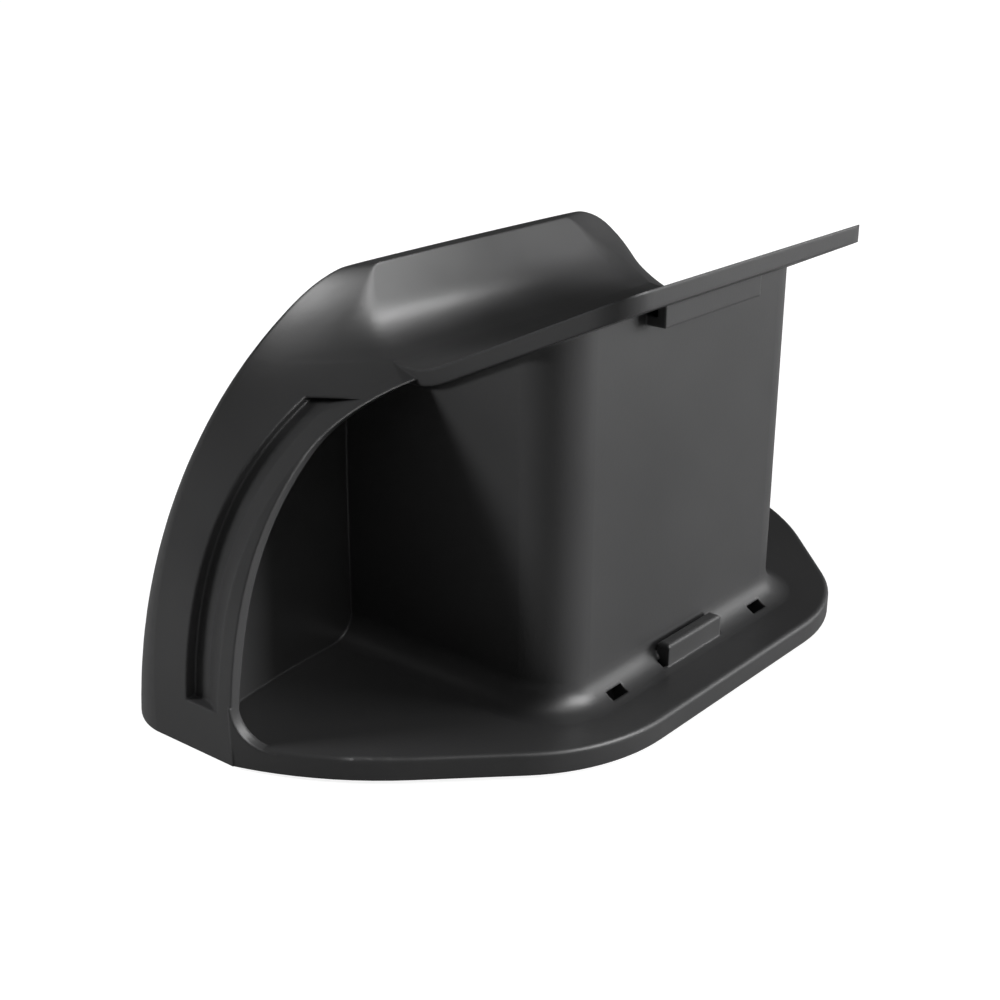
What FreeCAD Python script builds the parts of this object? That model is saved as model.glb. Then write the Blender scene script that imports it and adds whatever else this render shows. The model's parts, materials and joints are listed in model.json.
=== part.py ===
import FreeCAD, Part
import Sketcher
import math
import os

# Controller stand: one moulded body with an arched front shield that is open to the rear,
# a sloping tray with a lip on a hollow post, a D-shaped base plate and four rubber feet.
# X is the width, the shield faces +Y, the base's flat rear edge is at -Y and Z is up.

SIZES = {
    "shield_half_width": 58.2,
    "crest_height": 54.7,
    "crown_extra": 5.7,
    "arch_power": 2.15,
    "crease_depth": 50.0,
    "crease_lean": 2.2,
    "crease_lean_power": 4.0,
    "rim_depth": 36.0,
    "front_bulge": 22.8,
    "bulge_power": 1.03,
    "crest_land": 0.6,
    "flank_inset_low": 0.8,
    "flank_inset_top": 39.4,
    "flank_inset_power": 5.8,
    "bay_side_run": 5.0,
    "bay_front_run": 6.3,
    "shell_wall": 3.0,
    "rim_wall": 1.4,
    "front_core_height": 36.0,
    "crest_round": 2.6,
    "rim_blend": 8.0,
    "toe_blend": 5.0,
    "ridge_radius": 9.0,
    "ridge_radius_ends": 0.8,
    "base_thickness": 3.0,
    "base_flat_half": 17.7,
    "base_corner_radius": 25.0,
    "base_side_run": 14.0,
    "base_swell_radius": 52.0,
    "base_tuck": 12.0,
    "base_edge_fillet": 0.7,
    "tray_half_width": 27.7,
    "tray_thickness": 2.1,
    "tray_rear_depth": 0.3,
    "tray_rear_height": 59.1,
    "tray_corner_radius": 5.0,
    "valley_depth": 33.3,
    "valley_height": 44.7,
    "valley_radius": 12.2,
    "post_half_width": 26.8,
    "post_rear_depth": 9.6,
    "post_front_depth": 44.0,
    "post_corner_radius": 6.5,
    "post_wall": 2.6,
    "post_hollow_height": 40.0,
    "post_front_height": 45.0,
    "post_foot_fillet": 3.8,
    "groove_far_depth": 44.1,
    "groove_width": 5.8,
    "groove_sweep": 3.1,
    "groove_floor_width": 2.6,
    "groove_low": 6.5,
    "groove_high": 41.8,
    "groove_cut": 1.5,
    "slot_half_spacing": 16.8,
    "slot_length": 3.2,
    "slot_width": 2.4,
    "slot_depth": 7.1,
    "tab_length": 12.5,
    "tab_thickness": 1.6,
    "tab_height": 3.4,
    "tab_depth": 7.4,
    "tab_relief": 0.7,
    "rail_length": 21.4,
    "rail_depth": 6.7,
    "rail_drop": 2.9,
    "rail_thickness": 1.2,
    "rail_shelf": 2.2,
    "foot_diameter": 10.0,
    "foot_thickness": 1.6,
    "foot_proud": 0.6,
    "foot_front_depth": 59.0,
    "foot_front_inset": 32.2,
    "foot_rear_depth": 21.0,
    "foot_rear_inset": 18.2,
}

DIAGONAL = math.sqrt(0.5)
LIP_ANGLE = math.radians(58)
SWELL_END = math.radians(70)
TRIM_MARGIN = 6.0
LEAST_SECTION = 0.6
GROOVE_LEVELS = 6
LOFT_LEVELS = (0.0, 0.2, 0.4, 0.6, 0.74, 0.85, 0.93, 1.0)
RIDGE_LEVELS = (0.0, 0.08, 0.2, 0.37, 0.56, 0.74, 0.86, 0.95, 0.99, 1.0)
RIDGE_PEAK_POWER = 0.6
GROOVE_SWEEP_POWER = 3
TRAY_NOSE_SHARE = 0.57

doc = FreeCAD.newDocument("controller_stand")
sheet = doc.addObject("Spreadsheet::Sheet", "Sizes")
for row, (alias, number) in enumerate(SIZES.items(), start=1):
    sheet.set("A%d" % row, alias)
    sheet.set("B%d" % row, str(number))
    sheet.setAlias("B%d" % row, alias)
doc.recompute()


class Size:
    """A sheet value with its expression, so that sums of sizes stay bound to the sheet."""

    def __init__(self, value, text):
        self.value = float(value)
        self.text = text

    @staticmethod
    def of(other):
        return other if isinstance(other, Size) else Size(other, repr(float(other)))

    def __add__(self, other):
        other = Size.of(other)
        return Size(self.value + other.value, "(%s + %s)" % (self.text, other.text))

    def __sub__(self, other):
        other = Size.of(other)
        return Size(self.value - other.value, "(%s - %s)" % (self.text, other.text))

    def __mul__(self, other):
        other = Size.of(other)
        return Size(self.value * other.value, "(%s * %s)" % (self.text, other.text))

    def __truediv__(self, other):
        other = Size.of(other)
        return Size(self.value / other.value, "(%s / %s)" % (self.text, other.text))

    def __neg__(self):
        return Size(-self.value, "(0 - %s)" % self.text)

    def root(self):
        return Size(math.sqrt(self.value), "sqrt(%s)" % self.text)


def size(alias):
    return Size(sheet.get(alias), "Sizes." + alias)


def number(alias):
    return float(sheet.get(alias))


ZERO = Size(0, "0")


def bind(obj, prop, value):
    obj.setExpression(prop, Size.of(value).text)


ALONG_X = FreeCAD.Vector(1, 0, 0)
ALONG_Z = FreeCAD.Vector(0, 0, 1)
PLANE_TURNS = {
    "XY": FreeCAD.Rotation(),
    "YZ": FreeCAD.Rotation(FreeCAD.Vector(0, 1, 0), FreeCAD.Vector(0, 0, 1), ALONG_X, "XYZ"),
}


def profile(name, plane, steps):
    """A closed sketch. A step is (x, y) for a line or (x, y, radius, turn) for an arc to that point."""
    sketch = doc.addObject("Sketcher::SketchObject", name)
    sketch.Placement = FreeCAD.Placement(FreeCAD.Vector(), PLANE_TURNS[plane])
    corners = [(Size.of(step[0]), Size.of(step[1])) for step in steps]
    for index, step in enumerate(steps):
        x0, y0 = corners[index - 1]
        x1, y1 = corners[index]
        start = FreeCAD.Vector(x0.value, y0.value, 0)
        end = FreeCAD.Vector(x1.value, y1.value, 0)
        if len(step) == 2:
            geo = sketch.addGeometry(Part.LineSegment(start, end), False)
            last = 2
        else:
            radius = Size.of(step[2])
            geo = sketch.addGeometry(arc_between(start, end, radius.value, step[3]), False)
            last = 2 if step[3] > 0 else 1
            drive(sketch, Sketcher.Constraint("Radius", geo, radius.value), radius)
        drive(sketch, Sketcher.Constraint("DistanceX", -1, 1, geo, last, x1.value), x1)
        drive(sketch, Sketcher.Constraint("DistanceY", -1, 1, geo, last, y1.value), y1)
        first = 3 - last
        drive(sketch, Sketcher.Constraint("DistanceX", -1, 1, geo, first, x0.value), x0)
        drive(sketch, Sketcher.Constraint("DistanceY", -1, 1, geo, first, y0.value), y0)
    return sketch


def drive(sketch, constraint, value):
    index = sketch.addConstraint(constraint)
    sketch.setExpression("Constraints[%d]" % index, value.text)


def arc_between(start, end, radius, turn):
    """The shorter arc from start to end: turn is +1 anticlockwise and -1 clockwise."""
    chord = end - start
    middle = (start + end) * 0.5
    side = FreeCAD.Vector(-chord.y, chord.x, 0).normalize()
    rise = math.sqrt(max(radius * radius - chord.Length * chord.Length / 4, 0))
    centre = middle + side * (rise * turn)
    circle = Part.Circle(centre, FreeCAD.Vector(0, 0, 1), radius)
    first = math.atan2(start.y - centre.y, start.x - centre.x)
    last = math.atan2(end.y - centre.y, end.x - centre.x)
    if turn > 0:
        return Part.ArcOfCircle(circle, first, last)
    return Part.ArcOfCircle(circle, last, first)


def extrude(name, sketch, direction, length, symmetric=False):
    solid = doc.addObject("Part::Extrusion", name)
    solid.Base = sketch
    solid.DirMode = "Custom"
    solid.Dir = direction
    solid.Solid = True
    solid.Symmetric = symmetric
    bind(solid, "LengthFwd", length)
    return solid


def block(name, low, high):
    """A box between two corners, each given as three sizes."""
    box = doc.addObject("Part::Box", name)
    for prop, start, end in zip(("Length", "Width", "Height"), low, high):
        bind(box, prop, Size.of(end) - start)
    for axis, start in zip("xyz", low):
        bind(box, "Placement.Base." + axis, start)
    return box


def disc(name, x, y, bottom, diameter, height):
    cylinder = doc.addObject("Part::Cylinder", name)
    bind(cylinder, "Radius", diameter / 2)
    bind(cylinder, "Height", height)
    for axis, place in zip("xyz", (x, y, bottom)):
        bind(cylinder, "Placement.Base." + axis, place)
    return cylinder


def cross_bar(name, radius, depth, height, half_length):
    """A cylinder along X."""
    cylinder = doc.addObject("Part::Cylinder", name)
    cylinder.Placement.Rotation = FreeCAD.Rotation(FreeCAD.Vector(0, 1, 0), 90)
    bind(cylinder, "Radius", radius)
    bind(cylinder, "Height", half_length * 2)
    for axis, place in zip("xyz", (-half_length, depth, height)):
        bind(cylinder, "Placement.Base." + axis, place)
    return cylinder


def cut(name, base, tool):
    result = doc.addObject("Part::Cut", name)
    result.Base = base
    result.Tool = tool
    return result


def join(name, shapes):
    result = doc.addObject("Part::MultiFuse", name)
    result.Shapes = shapes
    return result


def common(name, shapes):
    result = doc.addObject("Part::MultiCommon", name)
    result.Shapes = shapes
    return result


def round_edges(name, base, radius, chosen):
    doc.recompute()
    edges = [i for i, edge in enumerate(base.Shape.Edges, start=1) if chosen(edge)]
    result = doc.addObject("Part::Fillet", name)
    result.Base = base
    result.Edges = [(i, radius, radius) for i in edges]
    return result


# Everything is measured from the base's flat rear edge, and the origin is the middle of the footprint.
rear_edge = -(size("crease_depth") + size("front_bulge")) / 2
base_bottom = size("foot_proud")
base_top = base_bottom + size("base_thickness")


def depth(alias):
    return rear_edge + size(alias)


def height(alias):
    return base_bottom + size(alias)


def arch_half_width(level):
    """Half the shield's width at a height: a superellipse with a round turn to the crest."""
    power = number("arch_power")
    crown = number("crest_height") + number("crown_extra")
    turn = number("crest_round")
    over = max(level - number("crest_height") + turn, 0.0)
    drawn_in = turn - math.sqrt(turn * turn - over * over)
    return number("shield_half_width") * (1 - (level / crown) ** power) ** (1 / power) - drawn_in


def flank_inset(level):
    """How far the rear rim stands inside the crease at a height: most towards the crest."""
    share = level / number("crest_height")
    return number("flank_inset_low") + number("flank_inset_top") * share ** number("flank_inset_power")


def front_bulge(level):
    """How far the front face stands out from the crease at a height."""
    fall = (1 - level / number("crest_height")) ** number("bulge_power")
    return number("crest_land") + (number("front_bulge") - number("crest_land")) * fall


def crease_y_at(level):
    """Where the crease between flank and front stands at a height: it leans to the rear at the crest."""
    share = level / number("crest_height")
    return depth("crease_depth").value - number("crease_lean") * share ** number("crease_lean_power")


def flank_half_width(level, y):
    """Half the shield's width at a height and a place along Y between the rim and the crease."""
    crease_y = crease_y_at(level)
    rim_y = depth("rim_depth").value
    return arch_half_width(level) - flank_inset(level) * (crease_y - y) / (crease_y - rim_y)


def plan_wire(level, rear_y, rear_half, side_y, side_half, bulge):
    """A level plan: a straight rear, two straight flanks and an oval front."""
    z = base_bottom.value + level
    rear_left = FreeCAD.Vector(-rear_half, rear_y, z)
    rear_right = FreeCAD.Vector(rear_half, rear_y, z)
    side_right = FreeCAD.Vector(side_half, side_y, z)
    side_left = FreeCAD.Vector(-side_half, side_y, z)
    oval = Part.Ellipse(FreeCAD.Vector(0, side_y, z), side_half, bulge)
    return Part.Wire([
        Part.LineSegment(rear_left, rear_right).toShape(),
        Part.LineSegment(rear_right, side_right).toShape(),
        Part.ArcOfEllipse(oval, 0, math.pi).toShape(),
        Part.LineSegment(side_left, rear_left).toShape()])


def shield_section(level, wall):
    """A level plan of the shield, moved in by a wall."""
    rim_y = depth("rim_depth").value
    rim_half = flank_half_width(level, rim_y) - wall
    bulge = front_bulge(level) - wall
    return plan_wire(level, rim_y, rim_half, crease_y_at(level), arch_half_width(level) - wall, bulge)


def bay_section(level):
    """A level plan of the bay behind the shield, opened past the rim."""
    rim_y = depth("rim_depth").value
    side_y = rim_y + number("bay_side_run")
    rear_y = rim_y - TRIM_MARGIN
    rim_half = max(flank_half_width(level, rim_y) - number("rim_wall"), 2 * LEAST_SECTION)
    least_half = number("bay_front_run") + LEAST_SECTION
    side_half = max(flank_half_width(level, side_y) - number("shell_wall"), least_half)
    slope = (side_half - rim_half) / (side_y - rim_y)
    rear_half = max(rim_half - slope * TRIM_MARGIN, LEAST_SECTION)
    return plan_wire(level, rear_y, rear_half, side_y, side_half, number("bay_front_run"))


def loft(name, sections):
    feature = doc.addObject("Part::Feature", name)
    feature.Shape = Part.makeLoft(sections, True, False)
    return feature


def levels(low, high, shares):
    return [low + share * (high - low) for share in shares]


# The tray's top falls from its rear edge to a round valley, and the lip rises from there.
valley_axis = height("valley_height") + size("valley_radius")
valley_y = depth("valley_depth")
tray_rear = depth("tray_rear_depth")
tray_rear_top = height("tray_rear_height")
reach = valley_y - tray_rear
rise = tray_rear_top - valley_axis
span = (reach * reach + rise * rise - size("valley_radius") * size("valley_radius")).root()
span_square = reach * reach + rise * rise
slope_cos = (reach * span - rise * size("valley_radius")) / span_square
slope_sin = (rise * span + reach * size("valley_radius")) / span_square


def below_top(distance):
    """The tray's profile at a distance under its top: its rear end, tangent point and end at the rim."""
    radius = size("valley_radius") + distance
    rear = (tray_rear, tray_rear_top - Size.of(distance) / slope_cos)
    tangent = (valley_y - slope_sin * radius, valley_axis - slope_cos * radius)
    offset = depth("rim_depth") - valley_y
    rim = (depth("rim_depth"), valley_axis - (radius * radius - offset * offset).root())
    return radius, rear, tangent, rim


# Shield: the lofted form, whose lip rises from the valley and leans forward, and the bay open to the rear.


def lip_cutter(name, distance):
    """The space over a surface at a distance under the lip's face."""
    radius = size("valley_radius") + distance
    turn_end = (valley_y + radius * math.sin(LIP_ANGLE), valley_axis - radius * math.cos(LIP_ANGLE))
    lift = size("valley_radius")
    lean_end = (turn_end[0] + lift / math.tan(LIP_ANGLE), turn_end[1] + lift)
    start = (valley_y, valley_axis - radius)
    top = lean_end[1] + lift
    outline = profile(name + "_profile", "YZ", [
        start, turn_end + (radius, 1), lean_end, (lean_end[0], top), (valley_y, top)])
    return extrude(name, outline, ALONG_X, size("shield_half_width") * 4, True)


def lip_y(level):
    """Where the lip's face stands at a height."""
    radius = number("valley_radius")
    under = valley_axis.value - base_bottom.value - level
    turn_under = radius * math.cos(LIP_ANGLE)
    if under > turn_under:
        return valley_y.value + math.sqrt(radius * radius - under * under)
    return valley_y.value + radius * math.sin(LIP_ANGLE) + (turn_under - under) / math.tan(LIP_ANGLE)


def ridge_section(level, share):
    """A level plan of the shield over the rim, with round ridges between the lip's face and the flanks."""
    z = base_bottom.value + level
    crease_y = crease_y_at(level)
    half_width = arch_half_width(level)
    rear_y = lip_y(level)
    corner = FreeCAD.Vector(flank_half_width(level, rear_y), rear_y, z)
    side = FreeCAD.Vector(half_width, crease_y, z)
    along = (side - corner).normalize()
    ends = number("ridge_radius_ends")
    radius = ends + (number("ridge_radius") - ends) * math.sin(math.pi * share ** RIDGE_PEAK_POWER)
    turn = math.acos(along.x)
    reach_back = radius * math.tan(turn / 2)
    first = corner - FreeCAD.Vector(reach_back, 0, 0)
    last = corner + along * reach_back
    inward = (along - FreeCAD.Vector(1, 0, 0)).normalize()
    middle = corner + inward * (radius / math.cos(turn / 2) - radius)

    def other(point):
        return FreeCAD.Vector(-point.x, point.y, point.z)

    oval = Part.Ellipse(FreeCAD.Vector(0, crease_y, z), half_width, front_bulge(level))
    return Part.Wire([
        Part.LineSegment(other(first), first).toShape(),
        Part.Arc(first, middle, last).toShape(),
        Part.LineSegment(last, side).toShape(),
        Part.ArcOfEllipse(oval, 0, math.pi).toShape(),
        Part.LineSegment(other(side), other(last)).toShape(),
        Part.Arc(other(last), other(middle), other(first)).toShape()])


rim_offset = number("rim_depth") - number("valley_depth")
rim_drop = math.sqrt(number("valley_radius") ** 2 - rim_offset ** 2)
rim_level = valley_axis.value - rim_drop - base_bottom.value
lower_levels = levels(0.0, rim_level, LOFT_LEVELS)
lower = loft("shield_lower_form", [shield_section(level, 0.0) for level in lower_levels])
ridge_levels = levels(rim_level, number("crest_height"), RIDGE_LEVELS)
upper = loft("shield_upper_form", [ridge_section(*pair) for pair in zip(ridge_levels, RIDGE_LEVELS)])
outer = join("shield_form", [lower, upper])
bay_levels = levels(number("base_thickness"), number("crest_height") - number("shell_wall"), LOFT_LEVELS)
inside = loft("bay_form", [bay_section(level) for level in bay_levels])
cavity = cut("shield_cavity", inside, lip_cutter("roof_cutter", size("tray_thickness")))
shield = cut("shield", outer, cavity)

# Tray plate, with round rear corners.
top_radius, top_rear, top_tangent, top_rim = below_top(ZERO)
low_radius, low_rear, low_tangent, low_rim = below_top(size("tray_thickness"))
tray_nose = size("tray_thickness") / slope_cos * TRAY_NOSE_SHARE
tray_profile = profile("tray_profile", "YZ", [
    top_rear, low_rear + (tray_nose, 1), low_tangent, low_rim + (low_radius, 1), top_rim,
    top_tangent + (top_radius, -1)])
tray_strip = extrude("tray_strip", tray_profile, ALONG_X, size("tray_half_width") * 2, True)
tray_side = size("tray_half_width")
tray_turn = size("tray_corner_radius")
tray_plan = profile("tray_plan", "XY", [
    (tray_side - tray_turn, tray_rear), (tray_side, tray_rear + tray_turn, tray_turn, 1),
    (tray_side, depth("rim_depth")), (-tray_side, depth("rim_depth")),
    (-tray_side, tray_rear + tray_turn), (tray_turn - tray_side, tray_rear, tray_turn, 1)])
tray_block = extrude("tray_block", tray_plan, ALONG_Z, tray_rear_top + 1)
tray = common("tray", [tray_strip, tray_block])

# Base plate behind the shield: a flat rear edge, round corners, straight sides and long swells to the rim.
corner = size("base_corner_radius")
swell = size("base_swell_radius")
run = size("base_side_run")
flat = size("base_flat_half")
corner_end = (flat + corner * DIAGONAL, rear_edge + corner * (1 - DIAGONAL))
run_end = (corner_end[0] + run * DIAGONAL, corner_end[1] + run * DIAGONAL)
swell_end = (run_end[0] + swell * (math.sin(SWELL_END) - DIAGONAL),
             run_end[1] + swell * (DIAGONAL - math.cos(SWELL_END)))
bay_front = depth("rim_depth") + size("bay_side_run") + size("bay_front_run")
bay_back = bay_front + size("shell_wall") / 2
tuck_end = (swell_end[0] - size("base_tuck"), bay_back)


def mirrored(point):
    return (-point[0], point[1])


def base_slab(name, inset, thickness):
    """A slab with the base's outline, its two sides moved in."""
    half_outline = [(x - inset, y) for x, y in ((flat, rear_edge), corner_end, run_end, swell_end, tuck_end)]
    start, turn_end, side_end, rim_end, tucked = half_outline
    outline = profile(name + "_outline", "XY", [
        start, turn_end + (corner, 1), side_end, rim_end + (swell, 1), tucked,
        mirrored(tucked), mirrored(rim_end), mirrored(side_end) + (swell, 1), mirrored(turn_end),
        mirrored(start) + (corner, 1)])
    slab = extrude(name, outline, ALONG_Z, thickness)
    bind(slab, "Placement.Base.z", base_bottom)
    return slab


base_plate = base_slab("base_plate", ZERO, size("base_thickness"))


def base_edge(edge):
    at_top = all(abs(vertex.Point.z - base_top.value) < 0.01 for vertex in edge.Vertexes)
    ahead = min(vertex.Point.y for vertex in edge.Vertexes) > swell_end[1].value - 0.01
    return at_top and not ahead


base = round_edges("base", base_plate, number("base_edge_fillet"), base_edge)

# Toes: the rim's lower ends run in a round turn into the base's edge.
rim_y = depth("rim_depth")
rim_wall = size("rim_wall")
toe = size("toe_blend")
toe_turn = toe + size("base_edge_fillet") / 2
toe_profile = profile("toe_profile", "YZ", [
    (rim_y - toe_turn, base_top + toe - toe_turn), (rim_y, base_top + toe, toe_turn, 1),
    (rim_y + rim_wall, base_top + toe), (rim_y + rim_wall, base_bottom), (rim_y - toe_turn, base_bottom)])
toe_bar = extrude("toe_bar", toe_profile, ALONG_X, size("shield_half_width") * 4, True)
toe_height = size("base_thickness") + toe
toe_wall = cut("toe_wall", base_slab("toe_outside", ZERO, toe_height),
               base_slab("toe_inside", rim_wall, toe_height + 1))
toes = common("toes", [toe_bar, toe_wall])

# Post: a box with round rear corners under the tray, hollow from below.
half = size("post_half_width")
post_round = size("post_corner_radius")
post_rear = depth("post_rear_depth")
post_front = depth("post_front_depth")


def post_plan(name, inset):
    side = half - inset
    turn = post_round - inset
    rear = post_rear + inset
    front = post_front - inset
    return profile(name, "XY", [
        (side - turn, rear), (side, rear + turn, turn, 1), (side, front), (-side, front),
        (-side, rear + turn), (turn - side, rear, turn, 1)])


post_column = extrude("post_column", post_plan("post_outline", ZERO), FreeCAD.Vector(0, 0, 1),
                      tray_rear_top - base_bottom)
bind(post_column, "Placement.Base.z", base_bottom)
sky = tray_rear_top + TRIM_MARGIN


def over_tray(name, distance):
    """The space over the tray's top, or over a surface at a distance under it."""
    radius, rear, tangent, _ = below_top(distance)
    behind = tray_rear - TRIM_MARGIN
    behind_height = rear[1] + slope_sin / slope_cos * TRIM_MARGIN
    end = (valley_y + radius, valley_axis)
    outline = profile(name + "_profile", "YZ", [
        (behind, behind_height), tangent, end + (radius, 1), (end[0], sky), (behind, sky)])
    return extrude(name, outline, ALONG_X, size("shield_half_width") * 4, True)


post = cut("post", post_column, over_tray("over_tray_middle", size("tray_thickness") / 2))
post_front_block = block("post_front_block", (-half, post_front - size("post_wall"), base_bottom),
                         (half, bay_back, height("post_front_height")))
standing = join("post_on_base", [base, post, post_front_block])
standing.Refine = True


def post_foot(edge):
    spots = [vertex.Point for vertex in edge.Vertexes]
    low = all(abs(p.z - base_top.value) < 0.01 for p in spots)
    beside = all(abs(p.x) < half.value + 0.01 and p.y < bay_back.value + 0.01 for p in spots)
    across = all(abs(p.y - bay_back.value) < 0.01 for p in spots)
    return low and beside and not across and min(p.y for p in spots) > post_rear.value - 0.01


blended = round_edges("post_with_foot_blend", standing, number("post_foot_fillet"), post_foot)

# Shoulders: the flanks run on past the rim and fade out under the tray's sides in a round turn.
shoulder = size("rim_blend")
shoulder_low = low_tangent[1] + size("tray_thickness") / 4 - shoulder


def shoulder_section(level):
    """A level plan of the right-hand flank's wall from the rim to the rear."""
    rear_y = rim_y.value - shoulder.value
    front_y = rim_y.value + rim_wall.value
    places = ((rear_y, 0.0), (front_y, 0.0), (front_y, rim_wall.value), (rear_y, rim_wall.value))
    z = base_bottom.value + level
    corners = [FreeCAD.Vector(flank_half_width(level, y) - inset, y, z) for y, inset in places]
    return Part.makePolygon(corners + corners[:1])


shoulder_levels = levels(shoulder_low.value - base_bottom.value, rim_level, LOFT_LEVELS)
shoulder_wall = loft("shoulder_wall_right", [shoulder_section(level) for level in shoulder_levels])
other_wall = doc.addObject("Part::Mirroring", "shoulder_wall_left")
other_wall.Source = shoulder_wall
other_wall.Normal = ALONG_X
shoulder_profile = profile("shoulder_profile", "YZ", [
    (rim_y, shoulder_low), (rim_y - shoulder, shoulder_low + shoulder, shoulder, 1), (rim_y - shoulder, sky),
    (rim_y + rim_wall, sky), (rim_y + rim_wall, shoulder_low)])
shoulder_bar = extrude("shoulder_bar", shoulder_profile, ALONG_X, size("shield_half_width") * 4, True)
shoulder_form = common("shoulder_form", [join("shoulder_walls", [shoulder_wall, other_wall]), shoulder_bar])
shoulders = cut("shoulders", shoulder_form, over_tray("over_tray_top", ZERO))
moulding = join("moulding", [shield, tray, blended, toes, shoulders])
post_hollow = extrude("post_hollow", post_plan("post_inside", size("post_wall")), FreeCAD.Vector(0, 0, 1),
                      size("post_hollow_height"))
bind(post_hollow, "Placement.Base.z", base_bottom)

# Long recess in each flank of the shield: a step at its far side, a floor and a slope towards the rim.


def groove_section(level, share):
    """One level plan of the right-hand recess, with the share of its height that lies below."""
    far_y = depth("groove_far_depth").value - number("groove_sweep") * share ** GROOVE_SWEEP_POWER
    floor_y = far_y - number("groove_floor_width")
    near_y = far_y - number("groove_width")
    z = base_bottom.value + level
    far_half = flank_half_width(level, far_y)
    floor_half = flank_half_width(level, floor_y) - number("groove_cut")
    near_half = flank_half_width(level, near_y)
    deep = number("groove_cut")
    outline = [
        (far_half + deep, far_y), (far_half - deep, far_y), (floor_half, floor_y),
        (near_half, near_y), (near_half + deep, near_y)]
    corners = [FreeCAD.Vector(x, y, z) for x, y in outline]
    return Part.makePolygon(corners + corners[:1])


groove_shares = [index / (GROOVE_LEVELS - 1) for index in range(GROOVE_LEVELS)]
groove_levels = levels(number("groove_low"), number("groove_high"), groove_shares)
recess = loft("recess_right", [groove_section(*pair) for pair in zip(groove_levels, groove_shares)])
other_recess = doc.addObject("Part::Mirroring", "recess_left")
other_recess.Source = recess
other_recess.Normal = ALONG_X

# Clip features for a rear cover: two slots and a spring tab in the base, a hooked rail under the tray.
slot_y = depth("slot_depth")
slots = []
for side in (-1, 1):
    middle = size("slot_half_spacing") * side
    slots.append(block("slot_%d" % (side + 2), (middle - size("slot_length") / 2, slot_y, ZERO),
                       (middle + size("slot_length") / 2, slot_y + size("slot_width"), base_top + 1)))
tab_y = depth("tab_depth")
relief = size("tab_relief")
tab_half = size("tab_length") / 2
tab_end_y = tab_y + size("tab_thickness")
relief_hole = block("tab_relief_hole", (-tab_half - relief, tab_y, ZERO),
                    (tab_half + relief, tab_end_y + relief, base_top + 1))
tab_block = block("tab_block", (-tab_half, tab_y - relief / 2, base_bottom),
                  (tab_half, tab_end_y, base_top + size("tab_height")))


def tab_top(edge):
    return all(abs(v.Point.z - base_top.value - number("tab_height")) < 0.01 for v in edge.Vertexes)


tab = round_edges("tab", tab_block, 0.35 * number("tab_thickness"), tab_top)
rail_y = depth("rail_depth")
rail_half = size("rail_length") / 2
tray_slope = slope_sin / slope_cos
middle_rear = tray_rear_top - size("tray_thickness") / 2 / slope_cos


def tray_under(y):
    """The height of the tray's middle surface above a depth."""
    return middle_rear - tray_slope * (y - tray_rear)


rail_low = tray_under(rail_y) - size("tray_thickness") / 2 - size("rail_drop")
rail_inner = rail_y + size("rail_thickness")
rail_back = rail_inner + size("rail_shelf")
rail_profile = profile("rail_profile", "YZ", [
    (rail_y, tray_under(rail_y)), (rail_y, rail_low), (rail_back, rail_low),
    (rail_back, rail_low + size("rail_thickness")), (rail_inner, rail_low + size("rail_thickness")),
    (rail_inner, tray_under(rail_inner))])
rail = extrude("rail", rail_profile, ALONG_X, rail_half * 2, True)

# Rubber feet in shallow seats under the base, and pillars that carry the front pair in the hollow front.
feet = []
seats = []
pillars = []
for end in ("front", "rear"):
    for side in (-1, 1):
        foot_x = (size("shield_half_width") - size("foot_%s_inset" % end)) * side
        foot_y = depth("foot_%s_depth" % end)
        tag = "%s_%s" % (end, "left" if side < 0 else "right")
        foot_sizes = (size("foot_diameter"), size("foot_thickness"))
        feet.append(disc("rubber_foot_" + tag, foot_x, foot_y, ZERO, *foot_sizes))
        seats.append(disc("seat_" + tag, foot_x, foot_y, ZERO, *foot_sizes))
        if end == "front":
            around = size("foot_diameter") + size("shell_wall") * 2
            pillars.append(disc("pillar_" + tag, foot_x, foot_y, ZERO, around, height("crest_height")))
front_levels = levels(0.0, number("front_core_height"), LOFT_LEVELS)
front_sections = [shield_section(level, number("shell_wall")) for level in front_levels]
front_inside = loft("front_inside_form", front_sections)
core_rear = bay_front + size("shell_wall")
front_face = depth("crease_depth") + size("front_bulge")
core_block = block("front_core_block", (-size("shield_half_width"), core_rear, ZERO),
                   (size("shield_half_width"), front_face, height("crest_height")))
core_form = common("front_core_form", [front_inside, core_block])
front_core = cut("front_core", core_form, join("pillars", pillars))

openings = join("openings", [post_hollow, front_core, recess, other_recess, relief_hole] + slots + seats)
opened = cut("opened_moulding", moulding, openings)
stand_body = join("stand_body", [opened, tab, rail])
doc.recompute()

# Check every object, then write each sub-part.
failed = [obj.Name for obj in doc.Objects if "Invalid" in obj.State or "Error" in obj.State]
if failed:
    raise RuntimeError("failed objects: " + ", ".join(failed))
os.makedirs("parts", exist_ok=True)
for obj in [stand_body] + feet:
    obj.Label = obj.Name
    if obj.Shape.isNull() or not obj.Shape.isValid():
        raise RuntimeError("bad shape: " + obj.Label)
    obj.Shape.exportStep("parts/%s.step" % obj.Label)
    print(obj.Label, len(obj.Shape.Solids), round(obj.Shape.Volume, 1), obj.Shape.BoundBox)
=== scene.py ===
import json
import math

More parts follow.
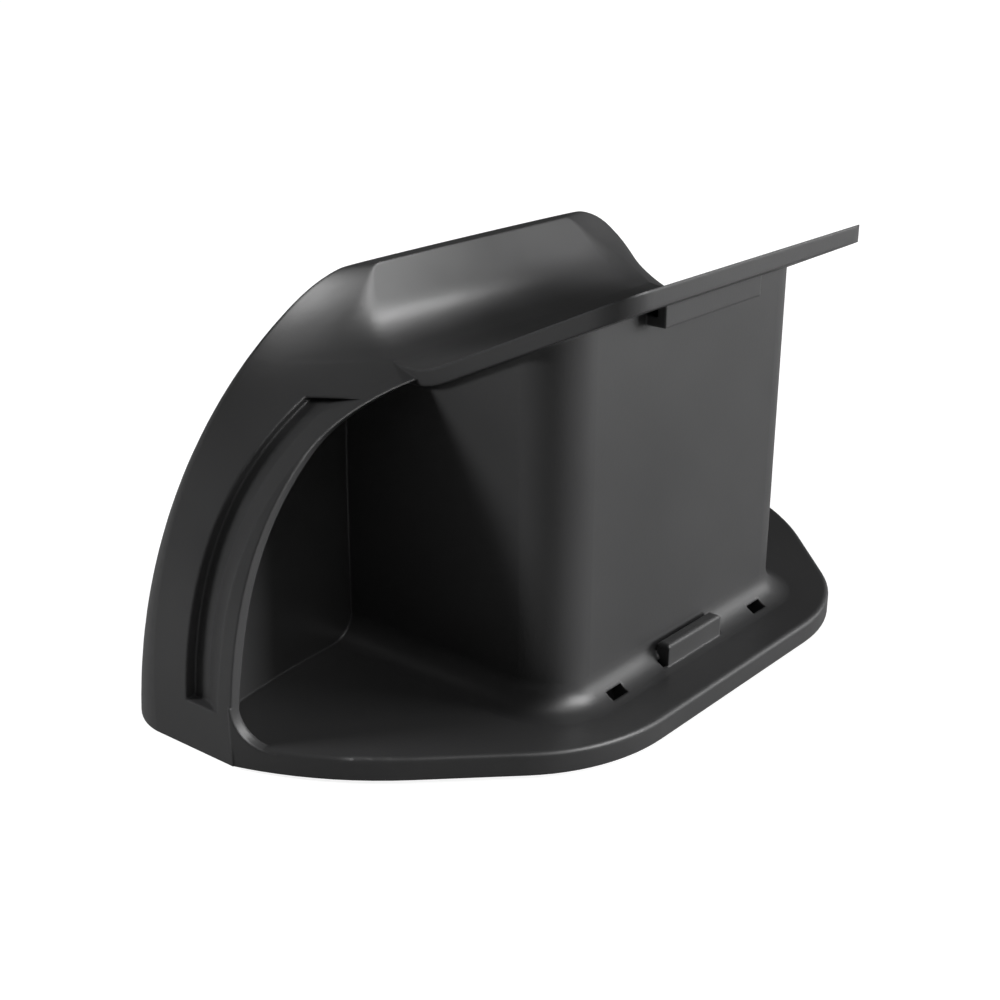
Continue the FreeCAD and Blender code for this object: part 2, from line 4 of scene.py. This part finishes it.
import bpy
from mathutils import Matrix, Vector

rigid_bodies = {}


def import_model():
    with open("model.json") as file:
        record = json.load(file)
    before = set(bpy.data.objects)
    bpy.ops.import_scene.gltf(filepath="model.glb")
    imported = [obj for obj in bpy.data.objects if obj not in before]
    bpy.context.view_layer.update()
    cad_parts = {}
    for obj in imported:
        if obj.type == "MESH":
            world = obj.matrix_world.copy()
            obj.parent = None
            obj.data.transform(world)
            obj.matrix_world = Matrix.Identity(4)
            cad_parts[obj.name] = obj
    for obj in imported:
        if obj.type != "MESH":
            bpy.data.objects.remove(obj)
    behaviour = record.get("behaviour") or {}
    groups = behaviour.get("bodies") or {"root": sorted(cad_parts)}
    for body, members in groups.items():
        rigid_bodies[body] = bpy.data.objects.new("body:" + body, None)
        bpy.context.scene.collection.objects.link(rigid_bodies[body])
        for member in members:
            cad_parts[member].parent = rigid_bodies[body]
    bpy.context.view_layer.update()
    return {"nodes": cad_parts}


# Controller stand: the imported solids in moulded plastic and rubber, on a pale floor in soft light.
# Lengths are in metres, lens sizes in millimetres and lamp powers in watts.

CAMERA_PLACE = (-0.1577, -0.1302, 0.1000)
CAMERA_FORWARD = (0.7031, 0.6065, -0.3706)
CAMERA_LENS = 54.576
SENSOR_WIDTH = 36.0
CLIP_START = 0.01
CLIP_END = 50.0

WHITE = (1.0, 1.0, 1.0, 1.0)

# Middle part of a noise texture's values, which is spread over a whole range.
NOISE_LOW = 0.3
NOISE_HIGH = 0.7
BUMP_HEIGHT = 0.0001

# Moulded plastic.
BODY_DARK = (0.0290, 0.0290, 0.0295, 1.0)
BODY_LIGHT = (0.0340, 0.0340, 0.0345, 1.0)
# Paler colour at the edges: partly rubbed wear, partly a painted highlight along the edges.
EDGE_WEAR_AND_HIGHLIGHT_TONE = (0.0480, 0.0480, 0.0490, 1.0)
GRAIN_SCALE = 2600.0
GRAIN_DETAIL = 3.0
GRAIN_CONTRAST = 0.6
GRAIN_STRENGTH = 0.09
FLOW_SCALE = 38.0
FLOW_DETAIL = 3.0
CLOUD_SCALE = 190.0
CLOUD_DETAIL = 2.0
BODY_ROUND = 0.0005
BODY_ROUND_SAMPLES = 6
EDGE_STARTS_AT = 0.995
EDGE_FULL_AT = 0.80
BODY_ROUGHNESS_LOW = 0.36
BODY_ROUGHNESS_HIGH = 0.42
CLOUD_ROUGHNESS = 0.015
EDGE_POLISH = 0.05
BODY_IOR = 1.48
BODY_SPECULAR = 0.5

# Rubber of the feet.
RUBBER_DARK = (0.0100, 0.0100, 0.0100, 1.0)
RUBBER_LIGHT = (0.0220, 0.0220, 0.0215, 1.0)
PIT_SCALE = 1500.0
PIT_DETAIL = 4.0
PIT_CONTRAST = 0.7
PIT_STRENGTH = 0.25
DUST_SCALE = 260.0
DUST_DETAIL = 4.0
DUST_STARTS_AT = 0.4
DUST_FULL_AT = 0.75
RUBBER_ROUGHNESS_LOW = 0.72
RUBBER_ROUGHNESS_HIGH = 0.88
RUBBER_ROUND = 0.0003
RUBBER_ROUND_SAMPLES = 4

# Floor and background. The floor's glow grows from the stand outwards, so that the contact shadow stays.
FLOOR_TONE = (0.32, 0.32, 0.32, 1.0)
FLOOR_HALF = 6.0
FLOOR_NEAR = 0.20
FLOOR_FAR = 0.50
FLOOR_GLOW_NEAR = 0.88
FLOOR_GLOW_FAR = 1.0
AMBIENT = 0.048
BACKDROP_LEVEL = 1.0

# Points that the lamps face, and the narrow beam of the lamp that makes the lip's highlight.
STAND_CENTRE = (0.0, 0.0, 0.03)
LIP_HIGHLIGHT = (-0.040, 0.006, 0.048)
LIP_BEAM = 0.17

for old in list(bpy.data.objects):
    bpy.data.objects.remove(old)

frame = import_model()
scene = bpy.context.scene
scene.view_settings.view_transform = "Standard"


class Nodes:
    """The node tree of a material or a world, with short calls to add and link nodes."""

    def __init__(self, owner):
        owner.use_nodes = True
        self.tree = owner.node_tree
        self.tree.nodes.clear()

    def put(self, node, socket, value):
        if isinstance(value, bpy.types.NodeSocket):
            self.tree.links.new(value, node.inputs[socket])
        else:
            node.inputs[socket].default_value = value

    def add(self, kind, inputs=None, **settings):
        node = self.tree.nodes.new(kind)
        for key, value in settings.items():
            setattr(node, key, value)
        for socket, value in (inputs or {}).items():
            self.put(node, socket, value)
        return node

    def noise(self, place, scale, detail, contrast=0.5):
        inputs = {"Vector": place, "Scale": scale, "Detail": detail, "Roughness": contrast}
        return self.add("ShaderNodeTexNoise", inputs).outputs["Fac"]

    def spread(self, value, low, high, to_low, to_high):
        inputs = {"Value": value, "From Min": low, "From Max": high, "To Min": to_low, "To Max": to_high}
        return self.add("ShaderNodeMapRange", inputs).outputs["Result"]

    def tint(self, share, first, second):
        # A colour mix has its two colours at sockets 6 and 7, and its result at output 2.
        node = self.add("ShaderNodeMix", data_type="RGBA")
        self.put(node, "Factor", share)
        self.put(node, 6, first)
        self.put(node, 7, second)
        return node.outputs[2]

    def math(self, operation, first, second):
        return self.add("ShaderNodeMath", {0: first, 1: second}, operation=operation).outputs["Value"]


def moulded_plastic():
    """Satin black plastic: a fine moulded grain, slow changes of gloss, and soft edges whose paler colour is
    partly rubbed wear and partly a painted highlight.
    """
    material = bpy.data.materials.new("satin_black_plastic")
    made = Nodes(material)
    place = made.add("ShaderNodeTexCoord").outputs["Object"]
    grain = made.noise(place, GRAIN_SCALE, GRAIN_DETAIL, GRAIN_CONTRAST)
    flow = made.noise(place, FLOW_SCALE, FLOW_DETAIL)
    cloud = made.noise(place, CLOUD_SCALE, CLOUD_DETAIL)

    rounding = made.add("ShaderNodeBevel", {"Radius": BODY_ROUND}, samples=BODY_ROUND_SAMPLES)
    soft = rounding.outputs["Normal"]
    plain = made.add("ShaderNodeNewGeometry").outputs["Normal"]
    bend = made.add("ShaderNodeVectorMath", {0: soft, 1: plain}, operation="DOT_PRODUCT")
    edge_wear_and_highlight = made.spread(bend.outputs["Value"], EDGE_STARTS_AT, EDGE_FULL_AT, 0.0, 1.0)

    ground = made.tint(made.spread(flow, NOISE_LOW, NOISE_HIGH, 0.0, 1.0), BODY_DARK, BODY_LIGHT)
    # The paler edge colour is partly rubbed wear and partly a painted highlight along the edges.
    colour = made.tint(edge_wear_and_highlight, ground, EDGE_WEAR_AND_HIGHLIGHT_TONE)

    slow = made.spread(flow, NOISE_LOW, NOISE_HIGH, BODY_ROUGHNESS_LOW, BODY_ROUGHNESS_HIGH)
    fine = made.spread(cloud, NOISE_LOW, NOISE_HIGH, -CLOUD_ROUGHNESS, CLOUD_ROUGHNESS)
    polish = made.math("MULTIPLY", edge_wear_and_highlight, EDGE_POLISH)
    roughness = made.math("SUBTRACT", made.math("ADD", slow, fine), polish)

    relief = made.add("ShaderNodeBump", {
        "Strength": GRAIN_STRENGTH, "Distance": BUMP_HEIGHT, "Height": grain, "Normal": soft})
    shader = made.add("ShaderNodeBsdfPrincipled", {
        "Base Color": colour, "Roughness": roughness, "Normal": relief.outputs["Normal"],
        "IOR": BODY_IOR, "Specular IOR Level": BODY_SPECULAR})
    made.add("ShaderNodeOutputMaterial", {"Surface": shader.outputs["BSDF"]})
    return material


def foot_rubber():
    """Matt black rubber with fine pits and a little dust."""
    material = bpy.data.materials.new("matt_black_rubber")
    made = Nodes(material)
    place = made.add("ShaderNodeTexCoord").outputs["Object"]
    pits = made.noise(place, PIT_SCALE, PIT_DETAIL, PIT_CONTRAST)
    dust = made.noise(place, DUST_SCALE, DUST_DETAIL)
    dusty = made.spread(dust, DUST_STARTS_AT, DUST_FULL_AT, 0.0, 1.0)
    colour = made.tint(dusty, RUBBER_DARK, RUBBER_LIGHT)
    roughness = made.spread(dust, NOISE_LOW, NOISE_HIGH, RUBBER_ROUGHNESS_LOW, RUBBER_ROUGHNESS_HIGH)
    rounding = made.add("ShaderNodeBevel", {"Radius": RUBBER_ROUND}, samples=RUBBER_ROUND_SAMPLES)
    relief = made.add("ShaderNodeBump", {
        "Strength": PIT_STRENGTH, "Distance": BUMP_HEIGHT, "Height": pits,
        "Normal": rounding.outputs["Normal"]})
    shader = made.add("ShaderNodeBsdfPrincipled", {
        "Base Color": colour, "Roughness": roughness, "Normal": relief.outputs["Normal"]})
    made.add("ShaderNodeOutputMaterial", {"Surface": shader.outputs["BSDF"]})
    return material


def pale_floor():
    """White floor that keeps the shadow and is lifted to the background's white where a camera sees it."""
    material = bpy.data.materials.new("pale_floor")
    made = Nodes(material)
    base = made.add("ShaderNodeBsdfDiffuse", {"Color": FLOOR_TONE})
    seen = made.add("ShaderNodeLightPath").outputs["Is Camera Ray"]
    place = made.add("ShaderNodeNewGeometry").outputs["Position"]
    reach = made.add("ShaderNodeVectorMath", {0: place}, operation="LENGTH").outputs["Value"]
    white = made.spread(reach, FLOOR_NEAR, FLOOR_FAR, FLOOR_GLOW_NEAR, FLOOR_GLOW_FAR)
    glow = made.add("ShaderNodeEmission", {"Color": WHITE, "Strength": made.math("MULTIPLY", seen, white)})
    both = made.add("ShaderNodeAddShader", {0: base.outputs["BSDF"], 1: glow.outputs["Emission"]})
    made.add("ShaderNodeOutputMaterial", {"Surface": both.outputs["Shader"]})
    return material


def studio():
    """A world that a camera sees as white and that lights the stand only a little."""
    world = bpy.data.worlds.new("studio")
    made = Nodes(world)
    seen = made.add("ShaderNodeLightPath").outputs["Is Camera Ray"]
    level = made.spread(seen, 0.0, 1.0, AMBIENT, BACKDROP_LEVEL)
    backdrop = made.add("ShaderNodeBackground", {"Color": WHITE, "Strength": level})
    made.add("ShaderNodeOutputWorld", {"Surface": backdrop.outputs["Background"]})
    return world


def facing(direction):
    """The rotation that points a lamp or a camera along a direction."""
    return direction.to_track_quat("-Z", "Y").to_euler()


def softbox(name, place, width, height, power, target=STAND_CENTRE, beam=math.pi, glossy=True, diffuse=True):
    """A rectangular area lamp that faces a point and that no camera sees."""
    lamp = bpy.data.lights.new(name, "AREA")
    lamp.shape = "RECTANGLE"
    lamp.size = width
    lamp.size_y = height
    lamp.energy = power
    lamp.spread = beam
    holder = bpy.data.objects.new(name, lamp)
    holder.location = place
    holder.rotation_euler = facing(Vector(target) - Vector(place))
    holder.visible_camera = False
    holder.visible_glossy = glossy
    holder.visible_diffuse = diffuse
    scene.collection.objects.link(holder)


plastic = moulded_plastic()
rubber = foot_rubber()
for name, node in frame["nodes"].items():
    is_foot = name.startswith("rubber_foot")
    node.data.materials.clear()
    node.data.materials.append(rubber if is_foot else plastic)

floor_mesh = bpy.data.meshes.new("floor")
floor_corners = [(x * FLOOR_HALF, y * FLOOR_HALF, 0.0) for x, y in ((-1, -1), (1, -1), (1, 1), (-1, 1))]
floor_mesh.from_pydata(floor_corners, [], [(0, 1, 2, 3)])
floor = bpy.data.objects.new("floor", floor_mesh)
floor.data.materials.append(pale_floor())
scene.collection.objects.link(floor)
scene.world = studio()

# Each lamp's name, place, width, height and power.
softbox("left_front", (-0.60, 0.60, 0.37), 0.22, 0.22, 9.5, glossy=False)
softbox("top_rear", (-0.10, -0.45, 0.85), 0.45, 0.45, 1.6)
softbox("right_rear", (0.62, -0.53, 0.18), 0.70, 0.34, 2.2)
softbox("lip_card", (0.20, -0.76, 0.62), 0.70, 0.45, 14.0, diffuse=False)
softbox("lip_spot", (0.170, -0.080, 0.234), 0.03, 0.03, 0.0022, target=LIP_HIGHLIGHT, beam=LIP_BEAM)
softbox("wall_fill", (0.46, -0.66, 0.12), 0.30, 0.24, 12.5, glossy=False)

view = bpy.data.cameras.new("camera")
view.lens = CAMERA_LENS
view.sensor_width = SENSOR_WIDTH
view.clip_start = CLIP_START
view.clip_end = CLIP_END
camera = bpy.data.objects.new("camera", view)
camera.location = CAMERA_PLACE
camera.rotation_euler = facing(Vector(CAMERA_FORWARD))
scene.collection.objects.link(camera)
scene.camera = camera
